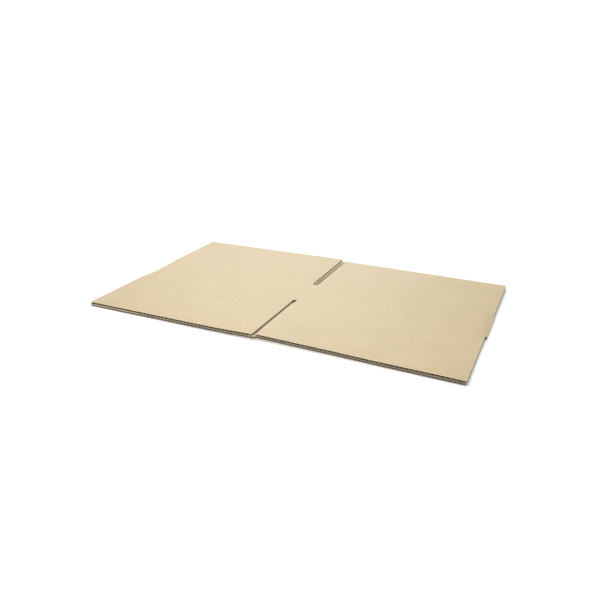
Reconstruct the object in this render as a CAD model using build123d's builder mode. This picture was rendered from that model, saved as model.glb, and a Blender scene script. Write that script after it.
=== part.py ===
from build123d import *
from math import atan2, cos, degrees, pi, sin
import os

os.makedirs("parts", exist_ok=True)

# A slotted carton of single-wall corrugated board, folded flat and lying on a
# table. It is one piece: a sheet cut with slots between its flaps, creased,
# folded back on itself at both ends, and stuck to itself by a tab underneath.
# Millimetres, +X along the length, +Y along the flutes, +Z up.

# ---- the board
board = 3.8            # thickness of the single-wall board
liner = 0.30           # each of its two facing papers
medium = 0.28          # the wavy paper between them
pitch = 7.87           # one wave of the medium
glue_line = 0.97       # half the width over which a crest is stuck to a liner
crest = 0.83           # half the width of a channel at its narrow side

# ---- the blank, folded flat
length = 706.0         # between the outer edges of the flaps, left to right
depth = 428.0          # from the near flap edges to the far flap edges
flap = 169.0           # depth of the slots, and so of the flaps
gap = 0.3              # air between the two boards
slot = 9.0             # width of the slots between the flaps
slot_x = 352.0         # the upper slots and the upright crease between them
under_left = 354.5     # right edge of the lower board's near left flap
under_far = 350.4      # right edge of its far left flap, cut a little further in
under_right = 357.0    # free edge of the lower board's right panel
tip_left = 1.8         # how far the left fold stands out past the flaps
tip_right = 2.6        # the same at the right fold

# ---- end folds, where the board is crushed and turns back on itself
nose_r = 2.6           # outer radius
nose_in = 1.0          # inner radius
taper = 14.0           # the crushed board grows to full thickness over this

# ---- creases
crease_w = 6.0         # the upright crease in the middle of the upper board
crease_d = 2.2         # how deep it is pressed, from inside
score_w = 3.0          # the flap creases, pressed into the inner liners
score_d = 0.2

# ---- the glued tab under the middle
tab_t = 2.2            # thickness of the pressed tab at its root
tab_w = 32.0           # how far it reaches under the right panel
tab_cut = 11.0         # how much each of its ends is cut back
tab_gap = 3.0          # from the ends of its root to the flap creases
ramp_from = under_left - 9.0       # the lower board starts to step down here
ramp_to = under_right - 2.0        # and lies flat on the table from here

wall = depth - 2 * flap
top = 2 * board + gap
x_mid = (length + tip_right - tip_left) / 2
y_mid = depth / 2
lean_left = atan2(tab_t, slot_x)             # the panels lean up to the middle,
lean_right = atan2(tab_t, length - slot_x)   # where they lie on the tab


def left(u, v):
    """A point of the left half: u along the boards, v square to them."""
    return (u * cos(lean_left) - v * sin(lean_left) - x_mid,
            u * sin(lean_left) + v * cos(lean_left))


def right(u, v):
    """A point of the right half, where u still counts from the left end."""
    w = length - u
    return (length - w * cos(lean_right) + v * sin(lean_right) - x_mid,
            w * sin(lean_right) + v * cos(lean_right))


def middle(v):
    """Where the two halves' lines at height v cross, over the crease."""
    (x0, z0), (x1, z1) = left(0, v), left(slot_x, v)
    (x2, z2), (x3, z3) = right(slot_x, v), right(length, v)
    m, n = (z1 - z0) / (x1 - x0), (z3 - z2) / (x3 - x2)
    x = (z2 - z0 + m * x0 - n * x2) / (m - n)
    return (x, z0 + m * (x - x0))


def at(y):
    """The upright plane across the flutes at a distance y from the near edge."""
    return Plane.XZ.offset(y_mid - y)


# each board: its half, its first and last u, v of its lower face, and where
# its waves begin
boards = [
    (left, 0.0, slot_x - slot / 2, board + gap, 0.6),
    (right, slot_x + slot / 2, length, board + gap, slot_x + 3.9),
    (left, 0.0, under_left, 0.0, 0.5),
    (right, under_right, length, 0.0, under_right + 1.8),
]

# the two kinds of channel: wide below the upper liner, or above the lower one
half, wide = (board - 2 * liner) / 2, pitch / 2 - glue_line
hanging = [(-wide, half), (wide, half), (crest, medium - half), (-crest, medium - half)]
standing = [(x, -z) for x, z in hanging]


def waves(start):
    """Places of one kind of channel in the four boards, one wave apart."""
    places = []
    for place, first, last, low, phase in boards:
        turn = degrees(lean_left if place is left else -lean_right)
        count = int((last - first) / pitch) + 3
        for k in range(-1, count):
            u = phase + (k + start) * pitch
            if first - wide < u < last + wide:
                x, z = place(u, low + board / 2)
                places.append(Location((x, z, 0), (0, 0, turn)))
    return places


ends = [(left, -tip_left, 1), (right, length + tip_right, -1)]
y_wall = flap + wall
root = wall / 2 - tab_gap

with BuildPart() as box_blank:
    # the four boards, cut through from the near flap edges to the far ones
    with BuildSketch(at(depth)):
        for place, first, last, low, phase in boards:
            with BuildLine():
                Polyline(place(first, low), place(last, low), place(last, low + board),
                         place(first, low + board), close=True)
            make_face()
        with Locations(*waves(0)):
            Polygon(*hanging, align=None, mode=Mode.SUBTRACT)
        with Locations(*waves(0.5)):
            Polygon(*standing, align=None, mode=Mode.SUBTRACT)
    extrude(amount=depth)

    # the far left flap of the lower board is cut a little narrower than the near one
    with BuildSketch(at(depth)):
        with BuildLine():
            Polyline(left(under_far, -1), left(under_left + 1, -1), left(under_left + 1, board + gap / 2),
                     left(under_far, board + gap / 2), close=True)
        make_face()
    extrude(amount=flap, mode=Mode.SUBTRACT)

    # the ends of the wall panels make way for the folds
    with BuildSketch(at(y_wall)):
        for place, tip, inward in ends:
            e = tip + inward * (nose_r + taper)
            with BuildLine():
                Polyline(place(tip - inward, -1), place(e, -1), place(e, top + 1),
                         place(tip - inward, top + 1), close=True)
            make_face()
    extrude(amount=wall, mode=Mode.SUBTRACT)

    # the end folds, and the upright crease that joins the two upper panels
    with BuildSketch(at(y_wall)):
        for place, tip, inward in ends:
            c, e = tip + inward * nose_r, tip + inward * (nose_r + taper)
            r = nose_r - nose_in
            with BuildLine():
                Spline([place(e, top), place(c + inward * 0.45 * taper, top - 1.25),
                        place(c, 2 * nose_r)], tangents=[(-inward, 0), (-inward, -0.12)])
                ThreePointArc(place(c, 2 * nose_r), place(tip, nose_r), place(c, 0))
                Polyline(place(c, 0), place(e, 0), place(e, board),
                         place(c + inward * 5, r + 0.7), place(c, r))
                ThreePointArc(place(c, r), place(tip + inward * r, nose_r),
                              place(c, nose_r + nose_in))
                Polyline(place(c, nose_r + nose_in), place(e, board + gap), place(e, top))
            make_face()
        with BuildLine():
            Polyline(left(slot_x - slot / 2, top), middle(top), right(slot_x + slot / 2, top),
                     right(slot_x + slot / 2, board + gap),
                     right(slot_x + crease_w / 2, board + gap),
                     middle(board + gap + crease_d),
                     left(slot_x - crease_w / 2, board + gap),
                     left(slot_x - slot / 2, board + gap), close=True)
        make_face()
    extrude(amount=wall)

    # the flap creases, pressed into the liners that face each other
    for place, first, last, lean in (
        (left, taper + nose_r, slot_x - slot / 2, -lean_left),
        (right, under_right, length - taper - nose_r, lean_right),
    ):
        x, z = place(first, 0)
        with BuildSketch(Plane((x, 0, z), x_dir=(0, 1, 0), z_dir=(cos(lean), 0, -sin(lean)))):
            with Locations((-wall / 2, board + gap / 2), (wall / 2, board + gap / 2)):
                Polygon((-score_w / 2, -gap / 2), (0, -gap / 2 - score_d), (score_w / 2, -gap / 2),
                        (score_w / 2, gap / 2), (0, gap / 2 + score_d), (-score_w / 2, gap / 2),
                        align=None)
        extrude(amount=last - first, mode=Mode.SUBTRACT)

    # the lower left panel makes way for the ramp down to the tab
    with BuildSketch(at(y_mid + root)):
        with BuildLine():
            Polyline(left(ramp_from, -1), left(under_left + 1, -1), left(under_left + 1, board + gap / 2),
                     left(ramp_from, board + gap / 2), close=True)
        make_face()
    extrude(amount=2 * root, mode=Mode.SUBTRACT)

with BuildPart() as tab:
    # the crushed ramp and the tab, glued to the lower right panel's underside
    with BuildSketch(at(y_mid + root)):
        with BuildLine():
            Polyline(left(ramp_from, 0), left(ramp_from + 5.5, 0), (ramp_to - x_mid, 0),
                     (under_right + tab_w - x_mid, 0), right(under_right + tab_w, 0),
                     right(under_right, 0), (ramp_to - 0.8 - x_mid, tab_t + 0.35),
                     left(ramp_from + 4.5, board), left(ramp_from, board), close=True)
        make_face()
    extrude(amount=2 * root)
    # its flattened flutes
    with BuildSketch(at(y_mid + root)):
        with Locations(*[(under_right - x_mid + 4.0 + k * pitch, tab_t / 2 - 0.1) for k in range(4)]):
            Polygon((-2.4, 0.65), (2.4, 0.65), (1.2, -0.65), (-1.2, -0.65), align=None)
    extrude(amount=2 * root, mode=Mode.SUBTRACT)
    # its ends are cut back at a slant
    with BuildSketch(Plane.XY):
        with BuildLine():
            Polyline((ramp_from - x_mid, -root), (ramp_to - x_mid, -root),
                     (under_right + tab_w - x_mid, tab_cut - root),
                     (under_right + tab_w - x_mid, root - tab_cut),
                     (ramp_to - x_mid, root), (ramp_from - x_mid, root), close=True)
        make_face()
    extrude(amount=2 * board, mode=Mode.INTERSECT)

with box_blank:
    add(tab.part)

box_blank.part.label = "box_blank"
export_step(box_blank.part, "parts/box_blank.step")
box = box_blank.part.bounding_box()
print("solids", len(box_blank.solids()), "faces", len(box_blank.faces()),
      "volume", round(box_blank.part.volume), "low", box.min, "high", box.max)
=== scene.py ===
import math
import random
import bpy
import numpy as np
from mathutils import Matrix, Vector


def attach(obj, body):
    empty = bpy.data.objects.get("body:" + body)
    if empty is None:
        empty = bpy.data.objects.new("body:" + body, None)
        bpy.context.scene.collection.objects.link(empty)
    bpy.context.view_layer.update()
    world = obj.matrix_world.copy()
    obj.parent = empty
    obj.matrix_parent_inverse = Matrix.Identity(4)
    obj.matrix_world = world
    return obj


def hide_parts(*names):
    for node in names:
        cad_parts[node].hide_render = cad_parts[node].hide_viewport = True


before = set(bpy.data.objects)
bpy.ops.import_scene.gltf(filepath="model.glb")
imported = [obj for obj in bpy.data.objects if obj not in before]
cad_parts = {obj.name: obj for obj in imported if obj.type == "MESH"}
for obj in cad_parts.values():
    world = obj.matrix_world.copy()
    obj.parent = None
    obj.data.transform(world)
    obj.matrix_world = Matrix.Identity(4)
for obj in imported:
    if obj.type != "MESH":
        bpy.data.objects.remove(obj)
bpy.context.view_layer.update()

# ---------------------------------------------------------------- dimensions
BOARD, LINER, MEDIUM, PITCH = 3.8, 0.30, 0.28, 7.87
LENGTH, DEPTH, FLAP, GAP = 706.0, 428.0, 169.0, 0.3
SLOT_X, SLOT = 352.0, 9.0
UNDER_LEFT, UNDER_RIGHT, UNDER_FAR = 354.5, 357.0, 350.4
TIP_LEFT, TIP_RIGHT = 1.8, 2.6
NOSE_R, NOSE_IN, TAPER = 2.6, 1.0, 14.0
TAB_T, TAB_W, TAB_CUT, TAB_GAP = 2.2, 32.0, 11.0, 3.0
RAMP_FROM, RAMP_TO = UNDER_LEFT - 9.0, UNDER_RIGHT - 2.0
TOP = 2 * BOARD + GAP
WALL_FAR = DEPTH - FLAP
X_MID = (LENGTH + TIP_RIGHT - TIP_LEFT) / 2
Y_MID = DEPTH / 2
slot_a, slot_b = SLOT_X - SLOT / 2, SLOT_X + SLOT / 2
AMP = (BOARD - 2 * LINER - MEDIUM) / 2
# lengths of the two fold arcs along the outer paper, and ends of the strip
ARC_LEFT, ARC_RIGHT = 6.6, 8.2
P1_END = -ARC_LEFT - UNDER_LEFT
P1_RAMP = -ARC_LEFT - RAMP_FROM
P1_FAR = -ARC_LEFT - UNDER_FAR
TAB_END = -ARC_LEFT - (UNDER_RIGHT + TAB_W)
P4_END = LENGTH + ARC_RIGHT + (LENGTH - UNDER_RIGHT)


def wavy(seed, count, shortest, longest):
    """A smooth seeded function of one number, about -1 to 1."""
    r = random.Random(seed)
    parts = [(r.uniform(0.5, 1.0), 2 * math.pi / r.uniform(shortest, longest), r.uniform(0, 6.28))
             for _ in range(count)]
    total = sum(a for a, _, _ in parts)

    def f(x):
        return sum(a * np.sin(k * np.asarray(x, float) + p) for a, k, p in parts) / total * 1.4
    return f


def step(x):
    x = np.clip(x, 0.0, 1.0)
    return x * x * (3 - 2 * x)


# ---------------------------------------------------------- shape of the blank
# how far each flap's corner at the middle sits off the straight line
NEAR_LEFT, NEAR_RIGHT, FAR_LEFT, FAR_RIGHT = 0.10, 2.50, 2.10, -1.75
sag_a, sag_b = wavy(3, 4, 160, 520), wavy(5, 4, 160, 520)
gap_a, gap_b = wavy(7, 5, 45, 260), wavy(9, 5, 45, 260)
cut_a, cut_b = wavy(13, 7, 14, 160), wavy(15, 7, 14, 160)
cut_c, cut_d = wavy(17, 7, 14, 160), wavy(19, 7, 14, 160)


def rise(u, y, upper, left):
    """Height of the board above its flat place."""
    u = np.clip(u, 0.0, LENGTH)
    lean = np.where(u < SLOT_X, u / SLOT_X, (LENGTH - u) / (LENGTH - SLOT_X))
    h = TAB_T * lean
    near = np.clip((FLAP - y) / FLAP, 0, 1)
    far = np.clip((y - WALL_FAR) / FLAP, 0, 1)
    h = h + near * lean * np.where(left, NEAR_LEFT, NEAR_RIGHT)
    h = h + far * lean * np.where(left, FAR_LEFT, FAR_RIGHT)
    # the near left flap curls up a little where it meets the slot
    h = h + np.where(left, 1.35 * step((u - 262.0) / 90.0) * step((near - 0.66) / 0.34), 0.0)
    # long soft bows of the panels
    inside = 4 * lean * (1 - lean)
    h = h + inside * (0.10 * sag_a(u) + 0.08 * sag_b(y + 0.3 * u))
    # the two boards aren't pressed together everywhere
    open_near = (0.08 + 0.08 * gap_a(u)) * step(near * 1.3)
    open_far = (0.06 + 0.06 * gap_b(u)) * step(far * 1.3)
    lift = open_near + open_far
    corner = step((u - 560) / 146.0) * step((near - 0.2) / 0.8)
    lift = lift + 0.25 * corner
    h = h + 0.60 * corner
    lift = lift + 0.25 * step((120 - u) / 120.0) * step((far - 0.2) / 0.8)
    lift = lift + np.where(left, 0.35 * step((u - 296.0) / 50.0) * step((near - 0.25) / 0.5), 0.0)
    h = np.where(upper, h + lift, h)
    return h


def askew(t, y):
    """How far the flaps' ends at the slots stand off their nominal places along the length."""
    near = np.clip((FLAP - y) / FLAP, 0, 1)
    far = np.clip((y - WALL_FAR) / FLAP, 0, 1)
    # the shift fades out into the wall panel and along each flap
    inward = np.where((y > FLAP) & (y < WALL_FAR), np.clip(1 - np.minimum(y - FLAP, WALL_FAR - y) / 14.0, 0, 1), 1.0)
    low_side = y < Y_MID
    right = np.where(low_side, -2.4 + 2.8 * near, 1.0 - 3.0 * far * far) * step(1 - (t - slot_b) / 340.0)
    left = np.where(low_side, -0.85 + 3.0 * near, -0.75 + 1.0 * far) * step(1 - (slot_a - t) / 340.0)
    under = np.where(low_side, 0.0, -0.9 + 6.6 * far - 4.2 * far * far) * step(1 - (t - P1_FAR) / 340.0)
    upper = (t > -ARC_LEFT / 2) & (t < LENGTH + ARC_RIGHT / 2)
    d = np.where(upper & (t >= slot_b - 0.01), right, np.where(upper & (t <= slot_a + 0.01), left, 0.0))
    d = np.where(t < -ARC_LEFT / 2, under, d)
    # between the slots the panel takes up both shifts
    mid = (t > slot_a + 0.01) & (t < slot_b - 0.01)
    share = np.clip((t - slot_a) / SLOT, 0, 1)
    at_left = np.where(low_side, -0.85, -0.75)
    at_right = np.where(low_side, -2.4, 1.0)
    d = np.where(mid, at_left * (1 - share) + at_right * share, d)
    return d * inward


def fold_state(t, arc, c, big, small, drop, inner_up, inner_low):
    """Outer and inner points of one state of an end fold, with t from the flap edges."""
    a = math.asin(c / big) if c > 0 else 0.0
    phi = a + (math.pi - 2 * a) * np.clip(-t / arc, 0, 1)
    up_arc = (t >= 0) & (t < c)
    u_low = -(t + arc)
    low_arc = (t < -arc) & (u_low < c)
    phi = np.where(up_arc, np.arcsin(np.clip((c - t) / big, -1, 1)), phi)
    phi = np.where(low_arc, math.pi - np.arcsin(np.clip((c - u_low) / big, -1, 1)), phi)
    ou, ov = c - big * np.sin(phi), big + big * np.cos(phi)
    iu, iv = c - small * np.sin(phi), big + small * np.cos(phi)
    top = t >= max(c, 0)
    low = (t < -arc) & (u_low >= c)
    ou = np.where(top, t, np.where(low, u_low, ou))
    iu = np.where(top, t, np.where(low, u_low, iu))
    ov = np.where(top, TOP - drop(t), np.where(low, 0.0, ov))
    iv = np.where(top, inner_up(t), np.where(low, inner_low(u_low), iv))
    return ou, ov, iu, iv


def pressed(tip):
    """The fold as it is along most of its length: crushed to a narrow low nose."""
    c = NOSE_R - tip
    e = c + TAPER
    xs = np.array([c, c + 0.15 * TAPER, c + 0.3 * TAPER, c + 0.45 * TAPER, c + 0.62 * TAPER,
                   c + 0.8 * TAPER, e])
    ys = np.array([2.70, 2.25, 1.72, 1.22, 0.62, 0.17, 0.0])
    return dict(c=c, big=NOSE_R, small=NOSE_IN,
                drop=lambda t: np.interp(t, xs, ys),
                inner_up=lambda t: np.interp(t, [c, e], [NOSE_R + NOSE_IN, BOARD + GAP]),
                inner_low=lambda t: np.interp(t, [c, c + 5, e], [NOSE_R - NOSE_IN, 2.3, BOARD]))


def fuller(tip):
    """The fold at its two ends, by the slots, where the board springs back."""
    big = TOP / 2
    c = big - tip
    return dict(c=c, big=big, small=GAP / 2, drop=lambda t: 0 * t,
                inner_up=lambda t: 0 * t + BOARD + GAP, inner_low=lambda t: 0 * t + BOARD)


FOLDS = {"left": (pressed(TIP_LEFT), fuller(TIP_LEFT)),
         "right": (pressed(TIP_RIGHT), fuller(TIP_RIGHT))}
# rows across the blank, and how hard the folds are pressed on each
ROWS = [0.0, 3.0, 150.0, 158.0, 164.0, 169.0, 172.0, 178.0, 187.0, 195.0, 214.0,
        232.0, 246.0, 256.0, 259.0, 264.0, 270.0, 278.0, 425.0, 428.0]
PRESS = {"left": ([169.0, 172.0, 178.0, 187.0, 195.0, 214.0, 232.0, 246.0, 256.0, 259.0],
                  [0.20, 0.34, 0.68, 0.93, 1.00, 1.00, 0.98, 0.80, 0.42, 0.32]),
         "right": ([169.0, 172.0, 178.0, 187.0, 195.0, 214.0, 232.0, 246.0, 256.0, 259.0],
                   [0.25, 0.40, 0.75, 0.95, 1.00, 1.00, 1.00, 0.85, 0.50, 0.36])}


def ends(t, y, side):
    """Outer and inner points near one end fold, where t counts from the flap edges inwards."""
    arc = ARC_LEFT if side == "left" else ARC_RIGHT
    mid, end = FOLDS[side]
    m, e = fold_state(t, arc, **mid), fold_state(t, arc, **end)
    press = np.interp(y, *PRESS[side])
    flat_u = np.where(t > -arc / 2, t, -(t + arc))
    flat = (flat_u, np.where(t > -arc / 2, TOP, 0.0), flat_u,
            np.where(t > -arc / 2, BOARD + GAP, BOARD))
    away = np.where(y < FLAP, FLAP - y, np.where(y > WALL_FAR, y - WALL_FAR, 0.0))
    held = np.interp(away, [0.0, 5.0, 11.0, 19.0], [1.0, 0.66, 0.26, 0.0])
    return [held * (press * a + (1 - press) * b) + (1 - held) * f for a, b, f in zip(m, e, flat)]


def place(t, y, d, tab=False):
    """World point, in millimetres, of a point of the blank at depth d under its outer face."""
    t, y, d = np.broadcast_arrays(np.asarray(t, float), np.asarray(y, float), np.asarray(d, float))
    if tab:
        u = -(t + ARC_LEFT)
        far = np.clip((u - RAMP_TO) / (UNDER_RIGHT + TAB_W - RAMP_TO), 0, 1)
        half = WALL_FAR - Y_MID - TAB_GAP
        y = Y_MID + (y - Y_MID) * (half - TAB_CUT * far) / half
        base = TAB_T * u / SLOT_X
        down = step((u - (RAMP_FROM + 4.0)) / (RAMP_TO - RAMP_FROM - 3.0))
        out = base * (1 - down)
        under = TAB_T * (LENGTH - u) / (LENGTH - SLOT_X) - 0.03
        fall = step((u - (RAMP_FROM + 3.0)) / (UNDER_RIGHT - 1.0 - RAMP_FROM - 3.0))
        inn = (base + BOARD) * (1 - fall) + under * fall
        z = out + (inn - out) * d / BOARD
        return np.stack([u - X_MID, y - Y_MID, z], -1)
    from_left = t < SLOT_X
    tl, tr = np.where(from_left, t, 100.0), np.where(from_left, 100.0, LENGTH - t)
    l, r = ends(tl, y, "left"), ends(tr, y, "right")
    ou, ov = np.where(from_left, l[0], LENGTH - r[0]), np.where(from_left, l[1], r[1])
    iu, iv = np.where(from_left, l[2], LENGTH - r[2]), np.where(from_left, l[3], r[3])
    upper = (t > -ARC_LEFT / 2) & (t < LENGTH + ARC_RIGHT / 2)
    # creases are pressed into the inner side of the board
    dent = np.interp(np.minimum(abs(y - FLAP), abs(y - WALL_FAR)), [0.0, 5.0, 11.0], [1.25, 0.30, 0.0])
    wall = (y >= FLAP) & (y <= WALL_FAR)
    dent = np.maximum(dent, np.where(wall, 2.2 * np.clip(1 - abs(t - SLOT_X) / 4.0, 0, 1), 0.0))
    # and the knives pinch the cut edges a little, those of the slots more
    pinch = np.interp(np.minimum(y, DEPTH - y), [0.0, 3.0], [0.20, 0.0])
    from_slot = np.minimum(abs(t - slot_a), abs(t - slot_b))
    pinch = np.maximum(pinch, np.where(wall, 0.0, np.interp(from_slot, [0.0, 1.2, 4.0], [0.95, 0.55, 0.0])))
    from_end = np.minimum(np.minimum(abs(t), abs(t - LENGTH)), np.minimum(abs(t + ARC_LEFT), abs(t - LENGTH - ARC_RIGHT)))
    pinch = np.maximum(pinch, np.where(wall, 0.0, np.interp(from_end, [0.0, 3.0], [0.35, 0.0])))
    thick = np.maximum(np.hypot(iu - ou, iv - ov), 0.5)
    share = np.clip(1 - (dent + pinch) / BOARD * np.minimum(thick / BOARD, 1), 0.35, 1)
    ridge = 0.10 * np.where(wall, np.clip(1 - abs(t - SLOT_X) / 5.0, 0, 1), 0.0)
    u = ou + (iu - ou) * share * d / BOARD
    v = ov + (iv - ov) * share * d / BOARD
    v = v + np.where(upper, ridge - 0.5 * pinch, 0.0)
    z = v + rise(u, y, upper, from_left)
    u = u + askew(t, y)
    # the cut edges aren't perfectly straight
    near, far = np.clip(1 - y / 3.0, 0, 1), np.clip(1 - (DEPTH - y) / 3.0, 0, 1)
    y = y + near * 0.22 * np.where(upper, cut_a(u), cut_b(u)) + far * 0.22 * np.where(upper, cut_c(u), cut_d(u))
    y = y + np.where(upper, 0.0, near * np.where(u < SLOT_X, -0.9 + 1.15 * step((u - 60.0) / 110.0), 0.8) - far * 0.25)
    y = y + near * np.where(u < SLOT_X, -1.5, 0.3) + far * np.where(u < SLOT_X, 0.4, -0.3)
    return np.stack([u - X_MID, y - Y_MID, np.maximum(z, 0.0)], -1)


# ------------------------------------------------------------------ the papers
START = {"upper_left": 0.6, "upper_right": SLOT_X + 3.9, "lower_left": 0.5, "lower_right": UNDER_RIGHT + 1.8}
jit = [wavy(60 + k, 5, 16, 90) for k in range(4)]


def wave(t):
    """Depth and slope of the medium's middle line at t along the strip."""
    ts = np.asarray(t, float)
    k = 2 * math.pi / PITCH
    lower_left, lower_right = ts < -ARC_LEFT / 2, ts > LENGTH + ARC_RIGHT / 2
    upper_left = ~lower_left & (ts < SLOT_X)
    u = np.where(lower_left, -(ts + ARC_LEFT), np.where(lower_right, 2 * LENGTH + ARC_RIGHT - ts, ts))
    start = np.where(lower_left, START["lower_left"], np.where(lower_right, START["lower_right"],
                     np.where(upper_left, START["upper_left"], START["upper_right"])))
    sign = np.where(lower_left | lower_right, -1.0, 1.0)
    off = 0.22 * np.select([upper_left, lower_left, lower_right], [jit[0](u), jit[2](u), jit[3](u)], jit[1](u))
    a = k * (u - start + off)
    # a glued wave is flatter at its tips than a sine
    s = np.cos(a)
    shape = s * (1.12 - 0.12 * s * s)
    slope = -np.sin(a) * (1.12 - 0.36 * s * s) * k
    along = np.where(lower_left | lower_right, -1.0, 1.0)
    return BOARD / 2 + sign * AMP * shape, sign * AMP * slope * along


def spread(marks, pace):
    """Numbers from the first mark to the last, through each, no further apart than pace."""
    out = [marks[0]]
    for a, b in zip(marks, marks[1:]):
        n = max(1, math.ceil((b - a) / pace - 1e-6))
        out += [a + (b - a) * (i + 1) / n for i in range(n)]
    return out


fold_marks = {
    "left": [-ARC_LEFT - 20, -ARC_LEFT - 15, -ARC_LEFT - 11, -ARC_LEFT - 7, -ARC_LEFT - 4, -ARC_LEFT - 2, -ARC_LEFT - 0.8,
             -ARC_LEFT] + [-ARC_LEFT * (1 - i / 10) for i in range(1, 10)]
            + [0.0, 0.8, 1.8, 2.9, 5.0, 7.1, 9.5, 12.0, 15.0, 20.0],
    "right": [LENGTH - 20, LENGTH - 15, LENGTH - 12, LENGTH - 9, LENGTH - 6.3, LENGTH - 4.2, LENGTH - 2.1, LENGTH - 1, LENGTH]
             + [LENGTH + ARC_RIGHT * i / 10 for i in range(1, 11)]
             + [LENGTH + ARC_RIGHT + s for s in (1, 2.2, 4, 7, 11, 15, 20)],
}
flat_marks = [P1_END, P1_FAR, P1_RAMP] + fold_marks["left"] + [slot_a - 4, slot_a - 1.2, slot_a, SLOT_X - 3, SLOT_X - 1.2, SLOT_X,
                                                               SLOT_X + 1.2, SLOT_X + 3, slot_b, slot_b + 1.2, slot_b + 4] \
    + fold_marks["right"] + [P4_END]
liner_cols = spread(flat_marks, 12.0)
wave_cols = spread([P1_END, P1_FAR, P1_RAMP, -ARC_LEFT, 0.0, slot_a, SLOT_X, slot_b, LENGTH, LENGTH + ARC_RIGHT, P4_END], PITCH / 10)
tab_marks = [TAB_END, -ARC_LEFT - (UNDER_RIGHT + 1), -ARC_LEFT - RAMP_TO, P1_RAMP]
tab_liner = spread(tab_marks, 2.0)
tab_wave = spread(tab_marks, PITCH / 8)


def kept(t, y):
    """Whether the blank has board at t, y, apart from the ramp and tab."""
    wall = FLAP < y < WALL_FAR
    if not wall:
        return ((P1_END if y < FLAP else P1_FAR) < t < -ARC_LEFT) or (0 < t < slot_a) or (slot_b < t < LENGTH) or (LENGTH + ARC_RIGHT < t < P4_END)
    if t < P1_RAMP and FLAP + TAB_GAP < y < WALL_FAR - TAB_GAP:
        return False
    return P1_END < t < P4_END


OUTER, INNER_LIT, MEDIUM_SHADED, CUT, LINER_BACK_LIT, MEDIUM_LOW_LIT, MID_SHADE_TONE = range(7)
verts, faces, kinds = [], [], []


def fluting(t):
    """The medium's colour at t, as painted light and shade: one mid-brown painted-shade tone on the slot walls, the
    lower board's cut ends and the fold arcs; the pale cut-edge colour by the right fold's ends, painted lighter; a
    dark copy, painted shade, in the upper board's open flutes; and a less darkened copy in the lower board's, painted
    lighter as if better lit.
    """
    if min(abs(t - slot_a), abs(t - slot_b), abs(t - P1_FAR), abs(t - P1_END)) < 5.0:
        return MID_SHADE_TONE
    if -ARC_LEFT < t < 0.0 or LENGTH < t < LENGTH + ARC_RIGHT:
        return MID_SHADE_TONE
    # painted light: the flutes by the right fold's ends take the pale cut-edge colour so the right end face reads
    # lighter
    if min(abs(t - LENGTH), abs(t - LENGTH - ARC_RIGHT)) < 2.0:
        return CUT
    return MEDIUM_SHADED if -ARC_LEFT < t < LENGTH + ARC_RIGHT else MEDIUM_LOW_LIT


def paper(cols, tab_cols, sides, kind_out, kind_in):
    """Adds one closed shell: the blank's outline between two surfaces given by sides(t) -> (dt, d) pairs."""
    cells = []
    for i in range(len(cols) - 1):
        for j in range(len(ROWS) - 1):
            if kept((cols[i] + cols[i + 1]) / 2, (ROWS[j] + ROWS[j + 1]) / 2):
                cells.append([(0, i, j), (0, i + 1, j), (0, i + 1, j + 1), (0, i, j + 1)])
    joint = cols.index(P1_RAMP)
    j0, j1 = ROWS.index(FLAP + TAB_GAP), ROWS.index(WALL_FAR - TAB_GAP)
    last = len(tab_cols) - 1

    def tab_key(i, j):
        return (0, joint, j) if i == last else (1, i, j)
    for i in range(last):
        for j in range(j0, j1):
            cells.append([tab_key(i, j), tab_key(i + 1, j), tab_key(i + 1, j + 1), tab_key(i, j + 1)])
    keys = sorted({k for c in cells for k in c})
    index = {k: n for n, k in enumerate(keys)}
    base = len(verts)
    n = len(keys)
    t = np.array([(tab_cols if b else cols)[i] for b, i, j in keys])
    y = np.array([ROWS[j] for b, i, j in keys])
    is_tab = np.array([b == 1 for b, i, j in keys])
    (dt0, d0), (dt1, d1) = sides(t)
    for dt, d in ((dt0, d0), (dt1, d1)):
        p = place(t + dt, y, d)
        q = place(t + dt, y, d, tab=True)
        verts.extend(np.where(is_tab[:, None], q, p).tolist())
    border = {}
    for c in cells:
        a = [index[k] for k in c]
        flute = fluting((t[a[0]] + t[a[1]]) / 2) if kind_out == MEDIUM_SHADED else None
        faces.append([base + v for v in a])
        kinds.append(flute or kind_out)
        faces.append([base + n + v for v in reversed(a)])
        kinds.append(flute or kind_in)
        for v, w in zip(a, a[1:] + a[:1]):
            if (w, v) in border:
                del border[(w, v)]
            else:
                border[(v, w)] = True
    for v, w in border:
        faces.append([base + w, base + v, base + n + v, base + n + w])
        flute = fluting((t[v] + t[w]) / 2)
        # the liners' cut faces across the slot walls and the lower board's cut ends take the same mid-brown
        # painted-shade colour
        kinds.append(flute if kind_out == MEDIUM_SHADED or (flute == MID_SHADE_TONE and t[v] == t[w]) else CUT)


def liner_sides(d0, d1):
    return lambda t: ((0 * t, 0 * t + d0), (0 * t, 0 * t + d1))


def medium_sides(t):
    d, slope = wave(t)
    size = np.sqrt(1 + slope * slope)
    off_t, off_d = MEDIUM / 2 * slope / size, MEDIUM / 2 / size
    return (off_t, d - off_d), (-off_t, d + off_d)


paper(liner_cols, tab_liner, liner_sides(0.0, LINER), OUTER, LINER_BACK_LIT)
paper(wave_cols, tab_wave, medium_sides, MEDIUM_SHADED, MEDIUM_SHADED)
paper(liner_cols, tab_liner, liner_sides(BOARD - LINER, BOARD), LINER_BACK_LIT, INNER_LIT)

mesh = bpy.data.meshes.new("corrugated_blank")
mesh.from_pydata([[c / 1000 for c in v] for v in verts], [], faces)
mesh.polygons.foreach_set("material_index", kinds)
mesh.validate()
mesh.update()
mesh.shade_smooth()
mesh.set_sharp_from_angle(angle=math.radians(38))
blank = bpy.data.objects.new("corrugated_blank", mesh)
bpy.context.scene.collection.objects.link(blank)


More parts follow.
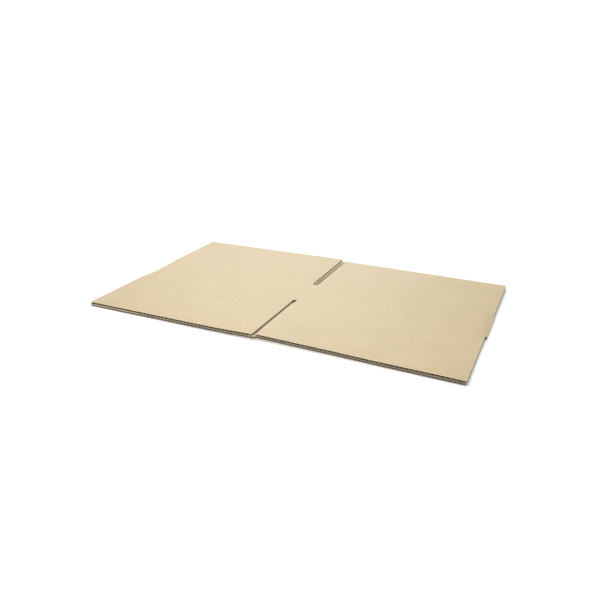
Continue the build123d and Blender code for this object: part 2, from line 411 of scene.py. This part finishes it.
# ------------------------------------------------------------------- materials
def new_material(name):
    m = bpy.data.materials.new(name)
    m.use_nodes = True
    nodes = m.node_tree.nodes
    nodes.clear()
    out = nodes.new("ShaderNodeOutputMaterial")
    bsdf = nodes.new("ShaderNodeBsdfPrincipled")
    m.node_tree.links.new(bsdf.outputs[0], out.inputs[0])
    return m, nodes, m.node_tree.links, bsdf


def mapped(nodes, links, scale):
    coord = nodes.new("ShaderNodeTexCoord")
    mapping = nodes.new("ShaderNodeMapping")
    mapping.inputs["Scale"].default_value = scale
    links.new(coord.outputs["Object"], mapping.inputs["Vector"])
    return mapping.outputs[0]


def noise(nodes, links, vector, scale, detail=3.0, rough=0.55, warp=0.0):
    n = nodes.new("ShaderNodeTexNoise")
    n.inputs["Scale"].default_value = scale
    n.inputs["Detail"].default_value = detail
    n.inputs["Roughness"].default_value = rough
    n.inputs["Distortion"].default_value = warp
    links.new(vector, n.inputs["Vector"])
    return n.outputs["Fac"]


def ramp(nodes, links, fac, stops):
    r = nodes.new("ShaderNodeValToRGB")
    while len(r.color_ramp.elements) < len(stops):
        r.color_ramp.elements.new(0.5)
    for e, (pos, value) in zip(r.color_ramp.elements, stops):
        e.position = pos
        e.color = (value, value, value, 1) if not isinstance(value, tuple) else (*value, 1)
    links.new(fac, r.inputs[0])
    return r.outputs[0]


def mix(nodes, links, mode, fac, a, b):
    m = nodes.new("ShaderNodeMix")
    m.data_type = "RGBA"
    m.blend_type = mode
    for socket, value in ((m.inputs[0], fac), (m.inputs[6], a), (m.inputs[7], b)):
        if isinstance(value, bpy.types.NodeSocket):
            links.new(value, socket)
        elif isinstance(value, tuple):
            socket.default_value = (*value, 1)
        else:
            socket.default_value = value
    return m.outputs[2]


def maths(nodes, links, kind, a, b=None):
    m = nodes.new("ShaderNodeMath")
    m.operation = kind
    for socket, value in zip(m.inputs, (a, b)):
        if isinstance(value, bpy.types.NodeSocket):
            links.new(value, socket)
        elif value is not None:
            socket.default_value = value
    return m.outputs[0]


def kraft(name, light, dark, roughness, washboard=0.0, fibres=1.0, seed=0.0):
    """Kraft paper: cloudy formation, long fibres along the machine direction, light and dark specks."""
    m, nodes, links, bsdf = new_material(name)
    plain = mapped(nodes, links, (1, 1, 1))
    plain_off = nodes.new("ShaderNodeVectorMath")
    plain_off.operation = "ADD"
    plain_off.inputs[1].default_value = (seed, seed * 1.7, 0)
    links.new(plain, plain_off.inputs[0])
    p = plain_off.outputs[0]
    cloud = noise(nodes, links, p, 22.0, 4.0, 0.6)
    mottle = noise(nodes, links, p, 160.0, 3.0, 0.6)
    along = mapped(nodes, links, (90.0, 900.0, 900.0))
    fibre = noise(nodes, links, along, 1.0, 2.0, 0.6, 0.6)
    across = mapped(nodes, links, (1300.0, 260.0, 900.0))
    fibre2 = noise(nodes, links, across, 1.0, 2.0, 0.6, 0.8)
    tone = maths(nodes, links, "MULTIPLY_ADD", cloud, 0.50)
    tone.node.inputs[2].default_value = 0.0
    tone2 = maths(nodes, links, "MULTIPLY_ADD", mottle, 0.32)
    links.new(tone, tone2.node.inputs[2])
    tone3 = maths(nodes, links, "MULTIPLY_ADD", fibre, 0.24)
    links.new(tone2, tone3.node.inputs[2])
    colour = mix(nodes, links, "MIX", ramp(nodes, links, tone3, [(0.39, 0.0), (0.67, 1.0)]), dark, light)
    # sparse dark and pale fibres
    dark_f = ramp(nodes, links, fibre2, [(0.69, 0.0), (0.76, 0.30 * fibres)])
    colour = mix(nodes, links, "MIX", dark_f, colour, tuple(c * 0.72 for c in dark))
    pale_f = ramp(nodes, links, fibre, [(0.70, 0.0), (0.78, 0.28 * fibres)])
    colour = mix(nodes, links, "MIX", pale_f, colour, tuple(min(1, c * 1.12) for c in light))
    links.new(colour, bsdf.inputs["Base Color"])
    bsdf.inputs["Roughness"].default_value = roughness
    bsdf.inputs["IOR"].default_value = 1.45
    height = maths(nodes, links, "MULTIPLY_ADD", fibre, 0.5)
    links.new(maths(nodes, links, "MULTIPLY", fibre2, 0.5), height.node.inputs[2])
    bump = nodes.new("ShaderNodeBump")
    bump.inputs["Strength"].default_value = 0.35
    bump.inputs["Distance"].default_value = 0.00008
    links.new(height, bump.inputs["Height"])
    last = bump
    if washboard:
        coord = nodes.new("ShaderNodeTexCoord")
        split = nodes.new("ShaderNodeSeparateXYZ")
        links.new(coord.outputs["Object"], split.inputs[0])
        turn = maths(nodes, links, "MULTIPLY", split.outputs[0], 2000 * math.pi / PITCH)
        waves = maths(nodes, links, "SINE", turn)
        bump2 = nodes.new("ShaderNodeBump")
        bump2.inputs["Strength"].default_value = 1.0
        bump2.inputs["Distance"].default_value = washboard
        links.new(waves, bump2.inputs["Height"])
        links.new(last.outputs[0], bump2.inputs["Normal"])
        last = bump2
    links.new(last.outputs[0], bsdf.inputs["Normal"])
    return m


OUT_LIGHT, OUT_DARK = (0.490, 0.388, 0.2275), (0.443, 0.346, 0.1975)
mesh.materials.append(kraft("kraft_outer_liner", OUT_LIGHT, OUT_DARK, 0.50, washboard=0.000012))
# the inner liner's face, seen down the slots: made far paler than the outer kraft so those shaded strips read lit,
# painted light
mesh.materials.append(kraft("kraft_inner_liner_painted_light", (0.80, 0.68, 0.475), (0.74, 0.62, 0.42), 0.62,
                            washboard=0.000012, seed=3.1))
# the fluting medium: a little darker than the liner, as recycled fluting is, and far darker again as painted shade in
# the open flutes
mesh.materials.append(kraft("fluting_medium_painted_shade", (0.115, 0.080, 0.045), (0.092, 0.063, 0.034), 0.75, seed=7.7))
mesh.materials.append(kraft("kraft_cut_edge", (0.49, 0.425, 0.32), (0.425, 0.365, 0.265), 0.8, seed=5.3))
# the liners' faces inside the flutes: paler than the outer kraft so the channel floors read lit against the dark
# medium, painted light
mesh.materials.append(kraft("kraft_flute_side_painted_light", (0.56, 0.465, 0.32), (0.50, 0.415, 0.28), 0.75, seed=9.1))
# a lighter copy of the medium for the lower board's flutes: painted light, as if they were better lit
mesh.materials.append(kraft("lower_fluting_painted_light", (0.285, 0.24, 0.172), (0.24, 0.20, 0.138), 0.75, seed=11.3))
# one mid-brown for the slot walls, the lower board's cut ends and the fold arcs, set to how shaded they look: painted
# shade
mesh.materials.append(kraft("mid_tone_painted_shade", (0.34, 0.26, 0.14), (0.29, 0.225, 0.115), 0.8, seed=12.9))

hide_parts("box_blank")
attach(blank, "root")

# ----------------------------------------------------------------------- stage
# a round white table that curves up into a low white wall; both glow from their material, painted light with no lamp
# behind them
profile = [(0.0, 0.0), (0.8, 0.0), (2.0, 0.0), (4.0, 0.0), (6.6, 0.0)]
profile += [(6.6 + 1.4 * math.sin(a), 1.4 - 1.4 * math.cos(a)) for a in np.radians(range(10, 91, 10))]
profile += [(8.0, 3.2)]
SIDES = 96
stage_v = [(0.0, 0.0, -0.0001)]
for r, z in profile[1:]:
    stage_v += [(r * math.cos(2 * math.pi * k / SIDES), r * math.sin(2 * math.pi * k / SIDES), z - 0.0001)
                for k in range(SIDES)]
stage_f = [(0, 1 + k, 1 + (k + 1) % SIDES) for k in range(SIDES)]
for i in range(len(profile) - 2):
    p, q = 1 + i * SIDES, 1 + (i + 1) * SIDES
    stage_f += [(p + k, q + k, q + (k + 1) % SIDES, p + (k + 1) % SIDES) for k in range(SIDES)]
sweep = bpy.data.meshes.new("white_sweep")
sweep.from_pydata(stage_v, [], stage_f)
sweep.shade_smooth()
floor = bpy.data.objects.new("floor", sweep)
bpy.context.scene.collection.objects.link(floor)
m, nodes, links, bsdf = new_material("white_sweep")
bsdf.inputs["Base Color"].default_value = (0.88, 0.90, 0.93, 1)
bsdf.inputs["Roughness"].default_value = 0.9
bsdf.inputs["Specular IOR Level"].default_value = 0.0
bsdf.inputs["Emission Color"].default_value = (1.0, 1.0, 1.0, 1)
split = nodes.new("ShaderNodeSeparateXYZ")
links.new(mapped(nodes, links, (1, 1, 1)), split.inputs[0])


def away(x, y):
    """Distance from a point of the table to the one being shaded."""
    dx = maths(nodes, links, "SUBTRACT", split.outputs[0], x)
    dy = maths(nodes, links, "SUBTRACT", split.outputs[1], y)
    return maths(nodes, links, "SQRT", maths(nodes, links, "ADD", maths(nodes, links, "MULTIPLY", dx, dx),
                                             maths(nodes, links, "MULTIPLY", dy, dy)))


def smooth(fac, a, b, low, high):
    m = nodes.new("ShaderNodeMapRange")
    m.interpolation_type = "SMOOTHSTEP"
    for i, value in enumerate((a, b, low, high), 1):
        m.inputs[i].default_value = value
    links.new(fac, m.inputs[0])
    return m.outputs[0]


# painted light, no lamp: the glow is weakest under and around the box and strongest all round farther out, with added
# patches near the middle of the box's near side and by the near right flap that wash out the shadows there
painted_glow = maths(nodes, links, "ADD", smooth(away(0.0, 0.0), 0.35, 1.1, 0.10, 0.33),
             smooth(away(0.11, -0.215), 0.03, 0.26, 0.26, 0.0))
painted_glow = maths(nodes, links, "ADD", painted_glow, smooth(away(0.385, -0.12), 0.02, 0.13, 0.15, 0.0))
links.new(painted_glow, bsdf.inputs["Emission Strength"])
floor.data.materials.append(m)

scene = bpy.context.scene
world = bpy.data.worlds.new("studio")
scene.world = world
world.use_nodes = True
back = world.node_tree.nodes["Background"]
back.inputs[0].default_value = (1.0, 1.0, 1.0, 1)
back.inputs[1].default_value = 0.62


def softbox(name, where, aim, size, power, colour=(1, 1, 1)):
    data = bpy.data.lights.new(name, "AREA")
    data.shape = "RECTANGLE"
    data.size, data.size_y = size
    data.energy = power
    data.color = colour
    ob = bpy.data.objects.new(name, data)
    scene.collection.objects.link(ob)
    ob.location = where
    ob.rotation_mode = "QUATERNION"
    ob.rotation_quaternion = (Vector(aim) - Vector(where)).to_track_quat("-Z", "Y")
    return ob


softbox("back_panel", (-1.00, 1.95, 1.45), (-0.05, 0, 0), (1.8, 1.3), 26.0, (1.0, 0.985, 0.93))
softbox("front_left_panel", (-0.95, -0.90, 0.13), (-0.35, -0.21, 0.01), (0.5, 0.2), 4.0)
softbox("top_panel", (-0.03, -0.22, 0.75), (-0.03, -0.22, 0), (0.5, 0.4), 1.4)
sun = bpy.data.lights.new("overhead", "SUN")
sun.energy = 1.0
sun.angle = math.radians(40)
over = bpy.data.objects.new("overhead", sun)
scene.collection.objects.link(over)
over.rotation_mode = "QUATERNION"
over.rotation_quaternion = Vector((0.38, 0.27, -1.0)).to_track_quat("-Z", "Y")

# ---------------------------------------------------------------------- camera
cam_data = bpy.data.cameras.new("camera")
cam = bpy.data.objects.new("camera", cam_data)
scene.collection.objects.link(cam)
scene.camera = cam
cam_data.sensor_width = 36.0
cam_data.lens = 36.272
pitch, yaw, roll = math.radians(22.593), math.radians(24.707), math.radians(0.271)
ahead = Vector((-math.sin(yaw) * math.cos(pitch), math.cos(yaw) * math.cos(pitch), -math.sin(pitch)))
right = Vector((math.cos(yaw), math.sin(yaw), 0))
up = right.cross(ahead)
r2 = right * math.cos(roll) + up * math.sin(roll)
u2 = -right * math.sin(roll) + up * math.cos(roll)
where = Vector((1.14066 * 0.706 - 0.3534, -1.13003 * 0.706 - 0.214, 0.63271 * 0.706 + 0.0079))
turn = Matrix((r2, u2, -ahead)).transposed().to_4x4()
cam.matrix_world = Matrix.Translation(where) @ turn
cam_data.clip_start, cam_data.clip_end = 0.01, 100

scene.view_settings.view_transform = "Standard"
scene.view_settings.look = "None"
scene.view_settings.exposure = 0.0
scene.view_settings.gamma = 1.0
